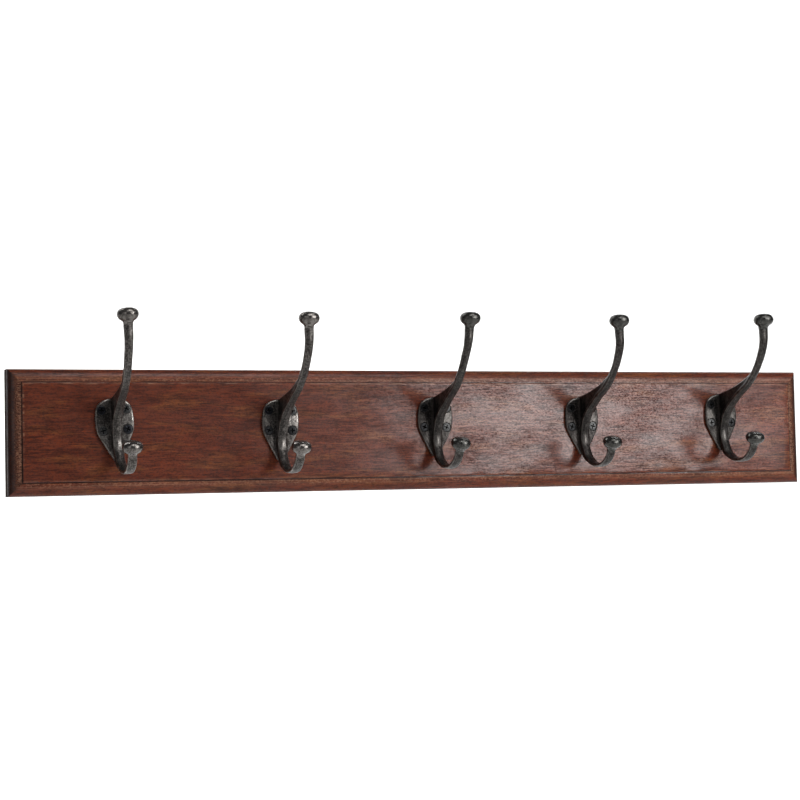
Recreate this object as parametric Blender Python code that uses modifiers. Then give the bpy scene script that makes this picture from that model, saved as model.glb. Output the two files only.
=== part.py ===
"""Wall hook rack: a moulded hardwood board with five cast iron hat-and-coat hooks.

Metres, +Z up. The board's back lies on the wall plane y = 0 and its face looks along -Y.
The origin is the middle of the board's back, and +X is to the right seen from the front.
"""

import math

import bmesh
import bpy
from mathutils import Matrix, Vector

# Board
BOARD_LENGTH = 0.860
BOARD_HEIGHT = 0.121
BOARD_THICKNESS = 0.024
MOULDING_WIDTH = 0.013
MOULDING_DROP = 0.0095
MOULDING_QUIRK = 0.0015
MOULDING_QUIRK_SLOPE = 0.0003
MOULDING_STEPS = 5

# Row of hooks
HOOK_COUNT = 5
END_MARGIN = 0.100
HOOK_RISE = 0.0119
HAND_SET_SHIFT = (0.0, 0.0003, -0.0006, -0.0007, 0.0004)
HAND_SET_RISE = (-0.0006, -0.0021, 0.0, -0.0002, 0.0029)
HAND_SET_LEAN = (4.0, -0.8, -1.1, 0.9, 0.6)
# Sideways bow of each upper arm, and the heights on the hook between which it bows
HAND_SET_BOW = (-0.0006, 0.0010, -0.0018, 0.0013, 0.0006)
BOW_FROM = 0.008
BOW_TO = 0.098

# Hook casting, with its origin on the back of the shield, midway between its four screws
SHIELD_THICKNESS = 0.0035
SHIELD_SOFTENING = 0.0007
SHIELD_OUTLINE_STEPS = 2
SHIELD_HALF_OUTLINE = (
    (0.0, 0.0214),
    (0.0095, 0.0192),
    (0.0161, 0.0140),
    (0.0186, 0.0040),
    (0.0182, -0.0095),
    (0.0135, -0.0205),
    (0.0075, -0.0315),
    (0.0032, -0.0392),
)
SCREW_SPACING_ACROSS = 0.024
SCREW_SPACING_UP = 0.0196
WEB_THICKNESS = 0.0044
WEB_TOP_EDGE = (
    (0.0015, 0.0205),
    (0.0060, 0.0217),
    (0.0280, 0.0257),
    (0.0485, 0.0309),
    (0.0650, 0.0369),
)
WEB_TIP = ((0.0100, -0.0422), (0.0055, -0.0400), (0.0015, -0.0365))
WEB_FIRST_STATION = 4
WEB_LAST_STATION = 10
# Front line of the arm from its neck down to the tip of the lower hook:
# distance out from the board, height, width and thickness
ARM_STATIONS = (
    (0.0985, 0.0905, 0.0092, 0.0074),
    (0.0985, 0.0820, 0.0087, 0.0070),
    (0.0974, 0.0685, 0.0079, 0.0067),
    (0.0915, 0.0555, 0.0074, 0.0065),
    (0.0805, 0.0408, 0.0071, 0.0061),
    (0.0637, 0.0264, 0.0075, 0.0055),
    (0.0403, 0.0144, 0.0082, 0.0052),
    (0.0205, 0.0015, 0.0091, 0.0050),
    (0.0125, -0.0105, 0.0094, 0.0056),
    (0.0098, -0.0235, 0.0093, 0.0070),
    (0.0160, -0.0370, 0.0092, 0.0086),
    (0.0225, -0.0437, 0.0091, 0.0054),
    (0.0330, -0.0480, 0.0090, 0.0044),
    (0.0490, -0.0478, 0.0089, 0.0044),
    (0.0610, -0.0415, 0.0086, 0.0044),
    (0.0662, -0.0335, 0.0084, 0.0042),
    (0.0690, -0.0285, 0.0084, 0.0042),
)
ARM_STEPS = 2
ARM_EDGE = 0.3
UPPER_KNOB_RADIUS = 0.0101
UPPER_KNOB_PLACE = (0.0962, 0.0925)
UPPER_KNOB_TILT = 0.0
LOWER_KNOB_RADIUS = 0.0097
LOWER_KNOB_PLACE = (0.0706, -0.0281)
LOWER_KNOB_TILT = 14.0
KNOB_SIDES = 14
# Knob profile as shares of its radius, from the crown down to the neck
KNOB_PROFILE = (
    (0.0, 0.60),
    (0.50, 0.55),
    (0.84, 0.35),
    (1.0, 0.02),
    (0.93, -0.22),
    (0.73, -0.43),
    (0.43, -0.62),
    (0.0, -0.72),
)

# Hook screws, countersunk with a cross recess
SCREW_LENGTH = 0.020
SCREW_HEAD_RADIUS = 0.0042
SCREW_HEAD_LAND = 0.0003
SCREW_SHANK_RADIUS = 0.0020
SCREW_SINK = 0.0001
SCREW_SIDES = 12
PILOT_SIDES = 10
# Cross recess as shares of the head's radius, and how much it narrows to its floor
RECESS_ARM = 0.55
RECESS_HALF_WIDTH = 0.14
RECESS_END_HALF_WIDTH = 0.11
RECESS_DEPTH = 0.36
RECESS_TAPER = 0.45

# Keyhole hangers let into the back, one between each outer pair of hooks
HANGER_HEIGHT = 0.050
HANGER_WIDTH = 0.020
HANGER_THICKNESS = 0.0016
HANGER_SINK = 0.0004
HANGER_SCREW_SPACING = 0.038
KEYHOLE_RADIUS = 0.0045
KEYHOLE_SLOT_WIDTH = 0.0045
KEYHOLE_RISE = 0.0095
KEYHOLE_CENTRE_DROP = 0.005
KEYHOLE_POCKET_DEPTH = 0.008
KEYHOLE_POCKET_MARGIN = 0.002
ROUND_END_STEPS = 6
HANGER_SCREW_LENGTH = 0.012
HANGER_SCREW_HEAD_RADIUS = 0.0028
HANGER_SCREW_SHANK_RADIUS = 0.0014
HANGER_SCREW_SIDES = 12

# Fits
CONTACT_GAP = 0.0003
SCREW_CLEARANCE = 0.0003
HEAD_CLEARANCE = 0.0004
PILOT_EXTRA_DEPTH = 0.0010
POCKET_CLEARANCE = 0.0004
CUT_OVERRUN = 0.0015
MERGE_DISTANCE = 0.00002

# Edges that turn more than this many degrees are rims, and those over the other are shaded sharp
RIM_ANGLE = 60.0
SHARP_ANGLE = 35.0

HOOK_SPACING = (BOARD_LENGTH - 2 * END_MARGIN) / (HOOK_COUNT - 1)
FIELD_Y = -BOARD_THICKNESS
HOOK_BACK_Y = FIELD_Y - CONTACT_GAP
HANGER_X = HOOK_SPACING * (HOOK_COUNT - 2) / 2
HOLE_RADIUS = SCREW_SHANK_RADIUS + SCREW_CLEARANCE
SINK_RADIUS = SCREW_HEAD_RADIUS + SCREW_SINK + SCREW_HEAD_LAND + HEAD_CLEARANCE
SCREW_TOP = SHIELD_THICKNESS - SCREW_SINK
FACE_FORWARD = Matrix.Rotation(math.pi / 2, 4, "X")
FACE_BACK = Matrix.Rotation(-math.pi / 2, 4, "X") @ Matrix.Rotation(math.pi, 4, "Z")


def clear_scene():
    for obj in list(bpy.data.objects):
        bpy.data.objects.remove(obj, do_unlink=True)


def new_collection(name):
    collection = bpy.data.collections.new(name)
    bpy.context.scene.collection.children.link(collection)
    return collection


def new_material(name, colour, roughness, metallic):
    material = bpy.data.materials.new(name)
    material.use_nodes = True
    shader = material.node_tree.nodes["Principled BSDF"]
    shader.inputs["Base Color"].default_value = (*colour, 1.0)
    shader.inputs["Roughness"].default_value = roughness
    shader.inputs["Metallic"].default_value = metallic
    material.diffuse_color = (*colour, 1.0)
    return material


def add_object(name, mesh, collection):
    obj = bpy.data.objects.new(name, mesh)
    collection.objects.link(obj)
    return obj


def add_cutter(name, mesh):
    cutter = add_object(name, mesh, cutters)
    cutter.hide_render = True
    cutter.display_type = "WIRE"
    return cutter


def evaluated_mesh(obj, name):
    """The object's mesh with its modifiers applied; the object itself is removed."""
    bpy.context.view_layer.update()
    graph = bpy.context.evaluated_depsgraph_get()
    mesh = bpy.data.meshes.new_from_object(obj.evaluated_get(graph))
    mesh.name = name
    bpy.data.objects.remove(obj, do_unlink=True)
    return mesh


def smooth_curve(points, steps):
    """Points along a Catmull-Rom curve through the given points, of any dimension."""
    padded = [points[0], *points, points[-1]]
    curve = []
    for before, start, end, after in zip(padded, padded[1:], padded[2:], padded[3:]):
        for step in range(steps):
            t = step / steps
            curve.append(
                tuple(
                    0.5
                    * (2 * b + (c - a) * t + (2 * a - 5 * b + 4 * c - d) * t**2)
                    + 0.5 * (3 * b - a - 3 * c + d) * t**3
                    for a, b, c, d in zip(before, start, end, after)
                )
            )
    curve.append(tuple(points[-1]))
    return curve


def outline_mesh(name, outline, thickness, softening=0.0):
    """A flat outline in XY as a slab centred on z = 0, its rims bevelled by the softening."""
    curve = bpy.data.curves.new(name, "CURVE")
    curve.dimensions = "2D"
    curve.fill_mode = "BOTH"
    curve.extrude = thickness / 2
    spline = curve.splines.new("POLY")
    spline.points.add(len(outline) - 1)
    for point, (x, y) in zip(spline.points, outline):
        point.co = (x, y, 0.0, 1.0)
    spline.use_cyclic_u = True
    mesh = evaluated_mesh(add_object(name, curve, cutters), name)
    weld(mesh)
    if not softening:
        return mesh
    slab = add_object(name, mesh, cutters)
    bevel = slab.modifiers.new("softened edge", "BEVEL")
    bevel.width = softening
    bevel.segments = 1
    bevel.limit_method = "ANGLE"
    bevel.angle_limit = math.radians(RIM_ANGLE)
    return evaluated_mesh(slab, name)


def weld(mesh):
    bm = bmesh.new()
    bm.from_mesh(mesh)
    bmesh.ops.remove_doubles(bm, verts=bm.verts, dist=MERGE_DISTANCE)
    bmesh.ops.recalc_face_normals(bm, faces=bm.faces)
    bm.to_mesh(mesh)
    bm.free()


def turned_mesh(name, profile, sides):
    """A profile of (radius, height) points, from top to bottom, turned about Z."""
    mesh = bpy.data.meshes.new(name)
    edges = [(index, index + 1) for index in range(len(profile) - 1)]
    mesh.from_pydata([(radius, 0.0, height) for radius, height in profile], edges, [])
    blank = add_object(name, mesh, cutters)
    screw = blank.modifiers.new("turn", "SCREW")
    screw.axis = "Z"
    screw.steps = sides
    screw.render_steps = sides
    screw.use_merge_vertices = True
    screw.merge_threshold = MERGE_DISTANCE
    turned = evaluated_mesh(blank, name)
    weld(turned)
    return turned


def joined_copies(name, mesh, places):
    """One mesh holding a copy of the given mesh at each place."""
    bm = bmesh.new()
    for place in places:
        copy = mesh.copy()
        copy.transform(place)
        bm.from_mesh(copy)
        bpy.data.meshes.remove(copy)
    joined = bpy.data.meshes.new(name)
    bm.to_mesh(joined)
    bm.free()
    return joined


def add_boolean(obj, name, operation, other):
    boolean = obj.modifiers.new(name, "BOOLEAN")
    boolean.operation = operation
    boolean.solver = "EXACT"
    boolean.object = other


def shade_round(mesh):
    mesh.shade_smooth()
    mesh.set_sharp_from_angle(angle=math.radians(SHARP_ANGLE))


def finished_mesh(obj, helpers, material):
    """The object's mesh after its Booleans, in one material; the helpers are removed."""
    mesh = evaluated_mesh(obj, obj.name)
    for helper in helpers:
        bpy.data.objects.remove(helper, do_unlink=True)
    weld(mesh)
    shade_round(mesh)
    mesh.materials.clear()
    mesh.materials.append(material)
    return mesh


def hook_place(index):
    """Where a hook's own frame sits on the board; a positive lean tips its top to the left."""
    across = (index - (HOOK_COUNT - 1) / 2) * HOOK_SPACING
    shift = HAND_SET_SHIFT[index % len(HAND_SET_SHIFT)]
    rise = HAND_SET_RISE[index % len(HAND_SET_RISE)]
    lean = HAND_SET_LEAN[index % len(HAND_SET_LEAN)]
    place = Matrix.Translation((across + shift, HOOK_BACK_Y, HOOK_RISE + rise))
    return place @ Matrix.Rotation(-math.radians(lean), 4, "Y")


def screw_places_on_hook():
    """The four screws of one hook in the hook's frame, heads facing forward."""
    places = []
    for up in (1, -1):
        for side in (-1, 1):
            spot = (side * SCREW_SPACING_ACROSS / 2, -SCREW_TOP, up * SCREW_SPACING_UP / 2)
            places.append(Matrix.Translation(spot) @ FACE_FORWARD)
    return places


def hanger_screw_places(side):
    """The two screws of one hanger, heads facing the wall."""
    head_y = -HANGER_SINK - CONTACT_GAP
    spots = [(side * HANGER_X, head_y, up * HANGER_SCREW_SPACING / 2) for up in (1, -1)]
    return [Matrix.Translation(spot) @ FACE_BACK for spot in spots]


def arc(radius, centre_y, start, turn, steps):
    """Points along an arc about (0, centre_y), both ends included."""
    angles = [start + turn * step / steps for step in range(steps + 1)]
    return [(radius * math.cos(angle), centre_y + radius * math.sin(angle)) for angle in angles]


def rounded_bar(half_width, bottom, top):
    """An upright bar outline with round ends, anticlockwise from its right side."""
    upper = arc(half_width, top - half_width, 0.0, math.pi, ROUND_END_STEPS)
    lower = arc(half_width, bottom + half_width, math.pi, math.pi, ROUND_END_STEPS)
    return upper + lower


def board_blank():
    """The plank with its edge moulded all round: a quarter round, then a small quirk."""
    side_depth = BOARD_THICKNESS - MOULDING_DROP
    bm = bmesh.new()
    bmesh.ops.create_cube(bm, size=1.0)
    bmesh.ops.scale(bm, vec=(BOARD_LENGTH, side_depth, BOARD_HEIGHT), verts=bm.verts)
    bmesh.ops.translate(bm, vec=(0.0, -side_depth / 2, 0.0), verts=bm.verts)
    front = min(bm.faces, key=lambda face: face.normal.y)
    round_drop = MOULDING_DROP - MOULDING_QUIRK
    inset = 0.0
    rise = 0.0
    for step in range(1, MOULDING_STEPS + 1):
        angle = math.pi / 2 * step / MOULDING_STEPS
        next_inset = MOULDING_WIDTH * (1 - math.cos(angle))
        next_rise = round_drop * math.sin(angle)
        inset_front(bm, front, next_inset - inset, next_rise - rise)
        inset = next_inset
        rise = next_rise
    inset_front(bm, front, MOULDING_QUIRK_SLOPE, MOULDING_QUIRK)
    mesh = bpy.data.meshes.new("back_board")
    bm.to_mesh(mesh)
    bm.free()
    return mesh


def inset_front(bm, face, width, rise):
    bmesh.ops.inset_region(bm, faces=[face], thickness=width, depth=rise, use_even_offset=True)


def make_board():
    board = add_object("back_board", board_blank(), parts)
    depth = SCREW_LENGTH - SCREW_TOP + PILOT_EXTRA_DEPTH
    pilot = turned_mesh("pilot", pilot_profile(HOLE_RADIUS, SCREW_TOP, depth), PILOT_SIDES)
    places = [
        hook_place(index) @ place
        for index in range(HOOK_COUNT)
        for place in screw_places_on_hook()
    ]
    pilots = add_cutter("hook_pilots", joined_copies("hook_pilots", pilot, places))
    add_boolean(board, "hook pilots", "DIFFERENCE", pilots)
    add_hanger_pockets(board)
    board.data.materials.append(wood)


def pilot_profile(radius, above, depth):
    """A blind hole about Z from z = 0, past the seat below it, to a drill point under its depth."""
    end = -above - depth
    return ((0.0, 0.0), (radius, 0.0), (radius, end), (0.0, end - radius / 2))


def add_hanger_pockets(board):
    """Recesses in the back: a seat for each hanger, and room behind its keyhole for a screw's head."""
    sides = (-1, 1)
    seat_reach = HANGER_HEIGHT / 2 + POCKET_CLEARANCE
    seat_outline = rounded_bar(HANGER_WIDTH / 2 + POCKET_CLEARANCE, -seat_reach, seat_reach)
    seat_depth = HANGER_SINK + HANGER_THICKNESS + CONTACT_GAP
    seat = outline_mesh("hanger_seats", seat_outline, 2 * seat_depth)
    head_room = KEYHOLE_RADIUS + KEYHOLE_POCKET_MARGIN
    pocket_bottom = -KEYHOLE_CENTRE_DROP - head_room
    pocket_top = KEYHOLE_RISE - KEYHOLE_CENTRE_DROP + head_room
    pocket_outline = rounded_bar(head_room, pocket_bottom, pocket_top)
    pocket = outline_mesh("head_pockets", pocket_outline, 2 * KEYHOLE_POCKET_DEPTH)
    spots = [Matrix.Translation((side * HANGER_X, 0.0, 0.0)) @ FACE_FORWARD for side in sides]
    for name, shape in (("hanger_seats", seat), ("head_pockets", pocket)):
        add_boolean(board, name, "DIFFERENCE", add_cutter(name, joined_copies(name, shape, spots)))
    radius = HANGER_SCREW_SHANK_RADIUS + SCREW_CLEARANCE
    depth = HANGER_SCREW_LENGTH + PILOT_EXTRA_DEPTH
    pilot = turned_mesh("hanger_pilot", pilot_profile(radius, 0.0, depth), HANGER_SCREW_SIDES)
    places = [place for side in sides for place in hanger_screw_places(side)]
    cutter = add_cutter("hanger_pilots", joined_copies("hanger_pilots", pilot, places))
    add_boolean(board, "hanger pilots", "DIFFERENCE", cutter)


def shield_mesh():
    half = smooth_curve(SHIELD_HALF_OUTLINE, SHIELD_OUTLINE_STEPS)
    outline = half + [(-x, z) for x, z in reversed(half[1:])]
    shield = outline_mesh("shield", outline, SHIELD_THICKNESS, SHIELD_SOFTENING)
    shield.transform(Matrix.Translation((0.0, -SHIELD_THICKNESS / 2, 0.0)) @ FACE_FORWARD)
    return shield


def bow_at(up, bow):
    """How far sideways a bowed arm stands at a height on its hook."""
    share = min(max((up - BOW_FROM) / (BOW_TO - BOW_FROM), 0.0), 1.0)
    return bow * math.sin(math.pi * share) ** 2


def arm_rings():
    """Stations of the arm: a point on its front line, the way into its thickness, width, thickness."""
    curve = smooth_curve(ARM_STATIONS, ARM_STEPS)
    rings = []
    for index, (out, up, width, thickness) in enumerate(curve):
        before = curve[max(index - 1, 0)]
        after = curve[min(index + 1, len(curve) - 1)]
        run = Vector((after[0] - before[0], after[1] - before[1])).normalized()
        rings.append(((out, up), (run.y, -run.x), width, thickness))
    return rings


def arm_mesh(bow):
    """The arm as a loft of chamfered bars, from the neck under the upper knob to the lower knob."""
    bm = bmesh.new()
    loops = []
    for (out, up), (in_out, in_up), width, thickness in arm_rings():
        edge = ARM_EDGE * min(width, thickness)
        loop = []
        for across, into in (
            (-width / 2 + edge, 0.0),
            (width / 2 - edge, 0.0),
            (width / 2, edge),
            (width / 2, thickness - edge),
            (width / 2 - edge, thickness),
            (-width / 2 + edge, thickness),
            (-width / 2, thickness - edge),
            (-width / 2, edge),
        ):
            height = up + in_up * into
            sideways = across + bow_at(height, bow)
            loop.append(bm.verts.new((sideways, -(out + in_out * into), height)))
        loops.append(loop)
    for first, second in zip(loops, loops[1:]):
        for index in range(len(first)):
            beside = (index + 1) % len(first)
            bm.faces.new((first[index], first[beside], second[beside], second[index]))
    bm.faces.new(loops[0])
    bm.faces.new(reversed(loops[-1]))
    bmesh.ops.recalc_face_normals(bm, faces=bm.faces)
    mesh = bpy.data.meshes.new("arm")
    bm.to_mesh(mesh)
    bm.free()
    return mesh


def web_mesh():
    """The upright web that joins the shield to the back of the arm, cut to the arm's middle."""
    middle = []
    backed = arm_rings()[WEB_FIRST_STATION * ARM_STEPS : WEB_LAST_STATION * ARM_STEPS]
    for (out, up), (in_out, in_up), _, thickness in backed:
        middle.append((out + in_out * thickness / 2, up + in_up * thickness / 2))
    outline = [*WEB_TOP_EDGE, *middle, *WEB_TIP]
    web = outline_mesh("web", outline, WEB_THICKNESS)
    web.transform(Matrix(((0, 0, 1, 0), (-1, 0, 0, 0), (0, 1, 0, 0), (0, 0, 0, 1))))
    return web


def knob_mesh(name, radius, place, tilt, bow):
    knob = turned_mesh(name, [(radius * r, radius * z) for r, z in KNOB_PROFILE], KNOB_SIDES)
    out, up = place
    centre = Matrix.Translation((bow_at(up, bow), -out, up))
    knob.transform(centre @ Matrix.Rotation(math.radians(tilt), 4, "X"))
    return knob


def hole_mesh():
    """A countersunk hole: clearance for the shank, and a 90 degree cone that runs past the face."""
    return turned_mesh(
        "screw_hole",
        (
            (0.0, SCREW_SINK + CUT_OVERRUN),
            (SINK_RADIUS + CUT_OVERRUN, SCREW_SINK + CUT_OVERRUN),
            (HOLE_RADIUS, SCREW_SINK + HOLE_RADIUS - SINK_RADIUS),
            (HOLE_RADIUS, -SCREW_TOP - CUT_OVERRUN),
            (0.0, -SCREW_TOP - CUT_OVERRUN),
        ),
        SCREW_SIDES,
    )


def hook_mesh(bow):
    """The whole casting: shield, web, arm and both knobs in one body, with its four screw holes."""
    casting = add_object("hook", shield_mesh(), cutters)
    pieces = (
        web_mesh(),
        arm_mesh(bow),
        knob_mesh("upper_knob", UPPER_KNOB_RADIUS, UPPER_KNOB_PLACE, UPPER_KNOB_TILT, bow),
        knob_mesh("lower_knob", LOWER_KNOB_RADIUS, LOWER_KNOB_PLACE, LOWER_KNOB_TILT, bow),
    )
    helpers = []
    for mesh in pieces:
        helper = add_cutter(mesh.name, mesh)
        helpers.append(helper)
        add_boolean(casting, mesh.name, "UNION", helper)
    cuts = joined_copies("screw_holes", hole_mesh(), screw_places_on_hook())
    holes = add_cutter("screw_holes", cuts)
    helpers.append(holes)
    add_boolean(casting, "screw holes", "DIFFERENCE", holes)
    return finished_mesh(casting, helpers, cast_iron)


def cross_recess(head_radius):
    """A cutter for a cross recess that narrows as it goes down from z = 0."""
    arm = RECESS_ARM * head_radius
    root = RECESS_HALF_WIDTH * head_radius
    end = RECESS_END_HALF_WIDTH * head_radius
    quarter = ((arm, -end), (arm, end), (root, root))
    outline = []
    for turn in range(4):
        spin = Matrix.Rotation(turn * math.pi / 2, 2)
        outline += [tuple(spin @ Vector(corner)) for corner in quarter]
    mesh = outline_mesh("recess", outline, 2 * RECESS_DEPTH * head_radius)
    for vertex in mesh.vertices:
        if vertex.co.z < 0:
            vertex.co.x *= RECESS_TAPER
            vertex.co.y *= RECESS_TAPER
    return mesh


def screw_mesh(name, length, head_radius, shank_radius, sides, material):
    """A countersunk wood screw about Z with the top of its head at z = 0."""
    cone_end = -SCREW_HEAD_LAND - (head_radius - shank_radius)
    profile = (
        (0.0, 0.0),
        (head_radius, 0.0),
        (head_radius, -SCREW_HEAD_LAND),
        (shank_radius, cone_end),
        (shank_radius, -length + 2 * shank_radius),
        (0.0, -length),
    )
    screw = add_object(name, turned_mesh(name, profile, sides), cutters)
    recess = add_cutter("recess", cross_recess(head_radius))
    add_boolean(screw, "recess", "DIFFERENCE", recess)
    return finished_mesh(screw, [recess], material)


def make_hooks():
    screw = screw_mesh(
        "hook_screw", SCREW_LENGTH, SCREW_HEAD_RADIUS, SCREW_SHANK_RADIUS, SCREW_SIDES, black_screw
    )
    corners = ("top_left", "top_right", "bottom_left", "bottom_right")
    for index in range(HOOK_COUNT):
        number = index + 1
        bow = HAND_SET_BOW[index % len(HAND_SET_BOW)]
        hook = add_object(f"hook_{number}", hook_mesh(bow), parts)
        hook.matrix_world = hook_place(index)
        for corner, place in zip(corners, screw_places_on_hook()):
            fastener = add_object(f"hook_{number}_screw_{corner}", screw, parts)
            fastener.matrix_world = hook_place(index) @ place


def keyhole_mesh():
    """The keyhole's round entry with the slot that rises from it, as a cutter."""
    half = KEYHOLE_SLOT_WIDTH / 2
    meet = math.asin(half / KEYHOLE_RADIUS)
    start, turn = math.pi / 2 + meet, 2 * (math.pi - meet)
    entry = arc(KEYHOLE_RADIUS, -KEYHOLE_CENTRE_DROP, start, turn, 2 * ROUND_END_STEPS)
    slot_end = arc(half, KEYHOLE_RISE - KEYHOLE_CENTRE_DROP, 0.0, math.pi, ROUND_END_STEPS)
    return outline_mesh("keyhole", entry + slot_end, HANGER_THICKNESS + 2 * CUT_OVERRUN)


def hanger_mesh():
    """A steel keyhole plate about its middle, its wall side at z = 0 and facing +Z, slot up +Y."""
    outline = rounded_bar(HANGER_WIDTH / 2, -HANGER_HEIGHT / 2, HANGER_HEIGHT / 2)
    plate = outline_mesh("hanger", outline, HANGER_THICKNESS)
    plate.transform(Matrix.Translation((0.0, 0.0, -HANGER_THICKNESS / 2)))
    hanger = add_object("hanger", plate, cutters)
    hole_radius = HANGER_SCREW_SHANK_RADIUS + SCREW_CLEARANCE
    sink_radius = HANGER_SCREW_HEAD_RADIUS + 2 * CONTACT_GAP + HEAD_CLEARANCE
    hole = turned_mesh(
        "hanger_hole",
        (
            (0.0, CUT_OVERRUN),
            (sink_radius + CUT_OVERRUN, CUT_OVERRUN),
            (hole_radius, hole_radius - sink_radius),
            (hole_radius, -HANGER_THICKNESS - CUT_OVERRUN),
            (0.0, -HANGER_THICKNESS - CUT_OVERRUN),
        ),
        HANGER_SCREW_SIDES,
    )
    spots = [Matrix.Translation((0.0, up * HANGER_SCREW_SPACING / 2, 0.0)) for up in (1, -1)]
    helpers = [
        add_cutter("keyhole", keyhole_mesh()),
        add_cutter("hanger_holes", joined_copies("hanger_holes", hole, spots)),
    ]
    for helper in helpers:
        add_boolean(hanger, helper.name, "DIFFERENCE", helper)
    return finished_mesh(hanger, helpers, zinc)


def make_hangers():
    plate = hanger_mesh()
    screw = screw_mesh(
        "hanger_screw",
        HANGER_SCREW_LENGTH,
        HANGER_SCREW_HEAD_RADIUS,
        HANGER_SCREW_SHANK_RADIUS,
        HANGER_SCREW_SIDES,
        zinc,
    )
    for side, word in ((-1, "left"), (1, "right")):
        hanger = add_object(f"hanger_{word}", plate, parts)
        hanger.matrix_world = Matrix.Translation((side * HANGER_X, -HANGER_SINK, 0.0)) @ FACE_BACK
        for end, place in zip(("top", "bottom"), hanger_screw_places(side)):
            fastener = add_object(f"hanger_{word}_screw_{end}", screw, parts)
            fastener.matrix_world = place


clear_scene()
parts = new_collection("wall_hook_rack")
cutters = new_collection("cutters")
wood = new_material("stained hardwood", (0.125, 0.045, 0.034), 0.42, 0.0)
cast_iron = new_material("cast iron", (0.085, 0.085, 0.088), 0.48, 0.85)
black_screw = new_material("blackened screw", (0.030, 0.030, 0.033), 0.40, 0.80)
zinc = new_material("zinc plated steel", (0.52, 0.52, 0.50), 0.35, 0.95)
make_board()
make_hooks()
make_hangers()
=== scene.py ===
import math
import random

import bmesh
import bpy
import numpy as np
from mathutils import Matrix, Vector, noise


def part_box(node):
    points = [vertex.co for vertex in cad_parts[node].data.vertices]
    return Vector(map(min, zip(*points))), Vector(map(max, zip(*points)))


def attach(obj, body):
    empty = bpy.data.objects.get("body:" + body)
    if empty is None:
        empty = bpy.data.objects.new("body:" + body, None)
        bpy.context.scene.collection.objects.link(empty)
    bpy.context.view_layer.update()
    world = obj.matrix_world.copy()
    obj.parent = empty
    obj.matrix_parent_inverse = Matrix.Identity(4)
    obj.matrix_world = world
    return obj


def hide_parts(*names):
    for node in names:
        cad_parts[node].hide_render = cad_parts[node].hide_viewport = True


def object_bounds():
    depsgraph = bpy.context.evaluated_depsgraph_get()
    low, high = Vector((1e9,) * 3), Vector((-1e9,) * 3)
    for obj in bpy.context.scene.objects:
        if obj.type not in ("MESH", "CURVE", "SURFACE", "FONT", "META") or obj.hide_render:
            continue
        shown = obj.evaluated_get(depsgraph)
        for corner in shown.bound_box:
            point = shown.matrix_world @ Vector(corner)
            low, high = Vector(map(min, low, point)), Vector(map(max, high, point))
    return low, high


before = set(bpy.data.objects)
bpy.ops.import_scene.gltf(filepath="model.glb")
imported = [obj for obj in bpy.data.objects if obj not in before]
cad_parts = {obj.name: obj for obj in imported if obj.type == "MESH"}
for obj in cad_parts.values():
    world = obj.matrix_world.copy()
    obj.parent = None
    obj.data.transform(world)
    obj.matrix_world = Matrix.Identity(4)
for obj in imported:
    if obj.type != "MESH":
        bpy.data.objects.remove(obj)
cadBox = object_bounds()
scene = bpy.context.scene
faceForward = Matrix.Rotation(math.pi / 2, 4, "X")
faceBack = Matrix.Rotation(-math.pi / 2, 4, "X") @ Matrix.Rotation(math.pi, 4, "Z")
print("frame loaded:", len(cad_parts), "nodes")


# a Wire is one output socket, and sums written with it add Math nodes
class Wire:
    def __init__(self, recipe, socket):
        self.recipe = recipe
        self.socket = socket

    def maths(self, operation, *values):
        sockets = dict(enumerate(values))
        return self.recipe.node("Math", {"operation": operation}, sockets)

    def __add__(self, other):
        return self.maths("ADD", self, other)

    def __radd__(self, other):
        return self.maths("ADD", other, self)

    def __sub__(self, other):
        return self.maths("SUBTRACT", self, other)

    def __rsub__(self, other):
        return self.maths("SUBTRACT", other, self)

    def __mul__(self, other):
        return self.maths("MULTIPLY", self, other)

    def __rmul__(self, other):
        return self.maths("MULTIPLY", other, self)

    def __neg__(self):
        return self.maths("MULTIPLY", self, -1.0)

    def __abs__(self):
        return self.maths("ABSOLUTE", self)

    def low(self, other):
        return self.maths("MINIMUM", self, other)

    def high(self, other):
        return self.maths("MAXIMUM", self, other)

    def ease(self, start, end):
        settings = {"interpolation_type": "SMOOTHSTEP"}
        sockets = {"Value": self, "From Min": start, "From Max": end}
        return self.recipe.node("MapRange", settings, sockets)


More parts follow.
